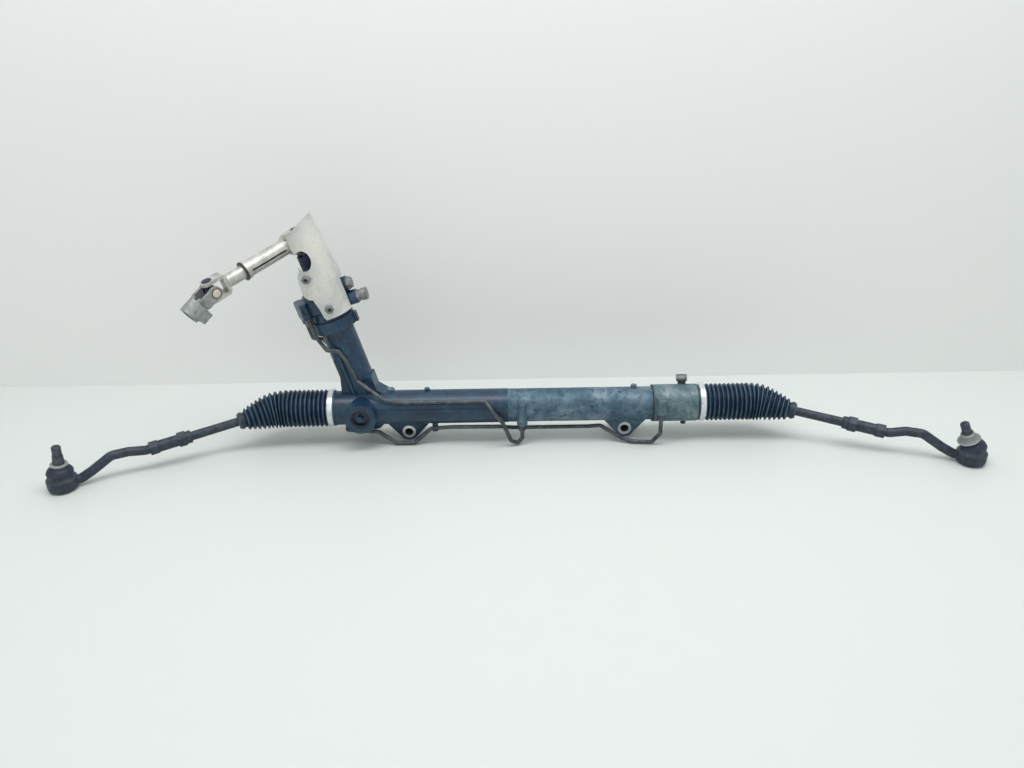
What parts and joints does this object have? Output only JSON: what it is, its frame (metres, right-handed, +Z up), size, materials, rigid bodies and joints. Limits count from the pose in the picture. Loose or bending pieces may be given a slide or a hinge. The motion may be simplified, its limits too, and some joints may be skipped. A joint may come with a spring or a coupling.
{
  "type": "steering rack",
  "caption": "Hydraulic rack-and-pinion steering gear with leaning valve tower, bellows, goose-necked tie rods and a jointed intermediate shaft.",
  "frame": {"origin": "midway between the two subframe bolt holes, on the front faces of the mounting ears", "axes": "+X along the rack to the cylinder end, +Y back through the ears, +Z up"},
  "size_m": [1.3228, 0.1987, 0.3484],
  "materials": {
    "black_housing": "satin",
    "cast_aluminium": "rough cast, darkened",
    "bright_steel": "machined",
    "dark_steel": "dark, oiled",
    "zinc_steel": "zinc plated",
    "shield_sheet": "dull rolled sheet",
    "boot_rubber": "satin",
    "seal_rubber": "matte",
    "polymer": "moulded",
    "bronze": "turned"
  },
  "bodies": {
    "housing": {"pinion_housing": "black_housing", "cylinder_housing": "cast_aluminium", "end_sleeve": "cast_aluminium", "mount_sleeves": "bright_steel", "rack_yoke": "polymer", "yoke_plug": "black_housing", "yoke_spring": "dark_steel", "rack_seals": "seal_rubber", "rack_bushing": "bronze", "lower_bearing": "dark_steel", "lower_cap": "black_housing", "upper_bearing": "dark_steel", "ring_nut": "black_housing", "valve_housing": "black_housing", "input_seal": "seal_rubber", "hose_fittings": "zinc_steel", "heat_shield": "shield_sheet", "shield_bolts": "bright_steel", "front_line": "dark_steel", "rear_line": "dark_steel", "line_nuts": "dark_steel", "line_clip": "dark_steel", "vent_plugs": "seal_rubber", "casting_plugs": "cast_aluminium", "boot_left": "boot_rubber", "boot_right": "boot_rubber", "boot_clamps": "bright_steel"},
    "rack": {"rack_bar": "bright_steel", "piston": "dark_steel", "inner_socket_left": "dark_steel", "inner_socket_right": "dark_steel"},
    "pinion": {"pinion_shaft": "zinc_steel", "valve_sleeve": "zinc_steel", "torsion_bar": "dark_steel"},
    "input": {"input_shaft": "zinc_steel"},
    "lower_yoke": {"lower_yoke": "zinc_steel", "lower_pinch_bolt": "zinc_steel"},
    "lower_cross": {"lower_cross": "zinc_steel"},
    "tube": {"shaft_tube": "zinc_steel", "tube_ring": "seal_rubber"},
    "slide": {"slide_fork": "zinc_steel"},
    "upper_cross": {"upper_cross": "zinc_steel"},
    "clamp": {"clamp_yoke": "zinc_steel"},
    "inner_seat_left": {"inner_seat_left": "polymer"},
    "tie_rod_left": {"tie_rod_left": "dark_steel", "lock_nut_left": "dark_steel", "rod_end_left": "dark_steel", "small_clamp_left": "bright_steel", "dust_boot_left": "boot_rubber"},
    "outer_seat_left": {"outer_seat_left": "polymer"},
    "stud_left": {"stud_left": "zinc_steel"},
    "inner_seat_right": {"inner_seat_right": "polymer"},
    "tie_rod_right": {"tie_rod_right": "dark_steel", "lock_nut_right": "dark_steel", "rod_end_right": "dark_steel", "small_clamp_right": "bright_steel", "dust_boot_right": "boot_rubber"},
    "outer_seat_right": {"outer_seat_right": "polymer"},
    "stud_right": {"stud_right": "zinc_steel"}
  },
  "joints": [
    {"name": "rack_slide", "type": "slide", "parent": "housing", "child": "rack", "axis": [1, 0, 0], "range_m": [-0.068, 0.068], "deforming": ["boot_left", "boot_right"]},
    {"name": "pinion_turn", "type": "hinge", "parent": "housing", "child": "pinion", "pos_m": [-0.225, 0.02, 0.0409], "axis": [-0.2756, 0, 0.9613], "range_deg": [-470, 470]},
    {"name": "input_twist", "type": "hinge", "parent": "pinion", "child": "input", "pos_m": [-0.225, 0.02, 0.0409], "axis": [-0.2756, 0, 0.9613], "range_deg": [-5, 5], "stiffness_Nm_per_rad": 1.5},
    {"name": "inner_swing_left", "type": "hinge", "parent": "rack", "child": "inner_seat_left", "pos_m": [-0.3545, 0.003, 0.0409], "axis": [0, 0, 1], "range_deg": [-51.4, 2.6], "deforming": ["boot_left"]},
    {"name": "inner_nod_left", "type": "hinge", "parent": "inner_seat_left", "child": "tie_rod_left", "pos_m": [-0.3545, 0.003, 0.0409], "axis": [0.4131, -0.9107, 0], "range_deg": [-26.5, 13.5], "deforming": ["boot_left"]},
    {"name": "stud_tilt_left", "type": "hinge", "parent": "tie_rod_left", "child": "outer_seat_left", "pos_m": [-0.6349, -0.12419, 0.0037], "axis": [0, 1, 0], "range_deg": [-29, 21], "deforming": ["dust_boot_left"]},
    {"name": "stud_rock_left", "type": "hinge", "parent": "outer_seat_left", "child": "stud_left", "pos_m": [-0.6349, -0.12419, 0.0037], "axis": [0.9976, 0, -0.0698], "range_deg": [-25, 25], "deforming": ["dust_boot_left"]},
    {"name": "inner_swing_right", "type": "hinge", "parent": "rack", "child": "inner_seat_right", "pos_m": [0.3545, 0.003, 0.0409], "axis": [0, 0, 1], "range_deg": [-9, 45], "deforming": ["boot_right"]},
    {"name": "inner_nod_right", "type": "hinge", "parent": "inner_seat_right", "child": "tie_rod_right", "pos_m": [0.3545, 0.003, 0.0409], "axis": [0.309, 0.9511, 0], "range_deg": [-27.2, 12.8], "deforming": ["boot_right"]},
    {"name": "stud_tilt_right", "type": "hinge", "parent": "tie_rod_right", "child": "outer_seat_right", "pos_m": [0.64695, -0.09202, 0.0037], "axis": [0, 1, 0], "range_deg": [-1, 49], "deforming": ["dust_boot_right"]},
    {"name": "stud_rock_right", "type": "hinge", "parent": "outer_seat_right", "child": "stud_right", "pos_m": [0.64695, -0.09202, 0.0037], "axis": [0.9135, 0, 0.4067], "range_deg": [-25, 25], "deforming": ["dust_boot_right"]},
    {"name": "lower_yoke_turn", "type": "hinge", "parent": "housing", "child": "lower_yoke", "pos_m": [-0.29887, 0.02, 0.29852], "axis": [-0.2756, 0, 0.9613], "range_deg": [-25, 0]},
    {"name": "lower_joint_bend", "type": "hinge", "parent": "lower_yoke", "child": "lower_cross", "pos_m": [-0.29887, 0.02, 0.29852], "axis": [0.6365, -0.7493, 0.1825], "range_deg": [-60, 0]},
    {"name": "lower_joint_swing", "type": "hinge", "parent": "lower_cross", "child": "tube", "pos_m": [-0.29887, 0.02, 0.29852], "axis": [-0.3333, -0.0538, 0.9413], "range_deg": [-3, 2]},
    {"name": "shaft_slide", "type": "slide", "parent": "tube", "child": "slide", "axis": [-0.6955, -0.66, -0.284], "range_m": [-0.015, 0.025]},
    {"name": "upper_joint_swing", "type": "hinge", "parent": "slide", "child": "upper_cross", "pos_m": [-0.40041, -0.07636, 0.25705], "axis": [-0.206, -0.1955, 0.9588], "range_deg": [-30, 30]},
    {"name": "upper_joint_bend", "type": "hinge", "parent": "upper_cross", "child": "clamp", "pos_m": [-0.40041, -0.07636, 0.25705], "axis": [0.6884, -0.7254, 0], "range_deg": [-30, 30]}
  ],
  "couplings": [
    {"joint": "pinion_turn", "follows": "rack_slide", "rad_per_m": 120.16}
  ]
}
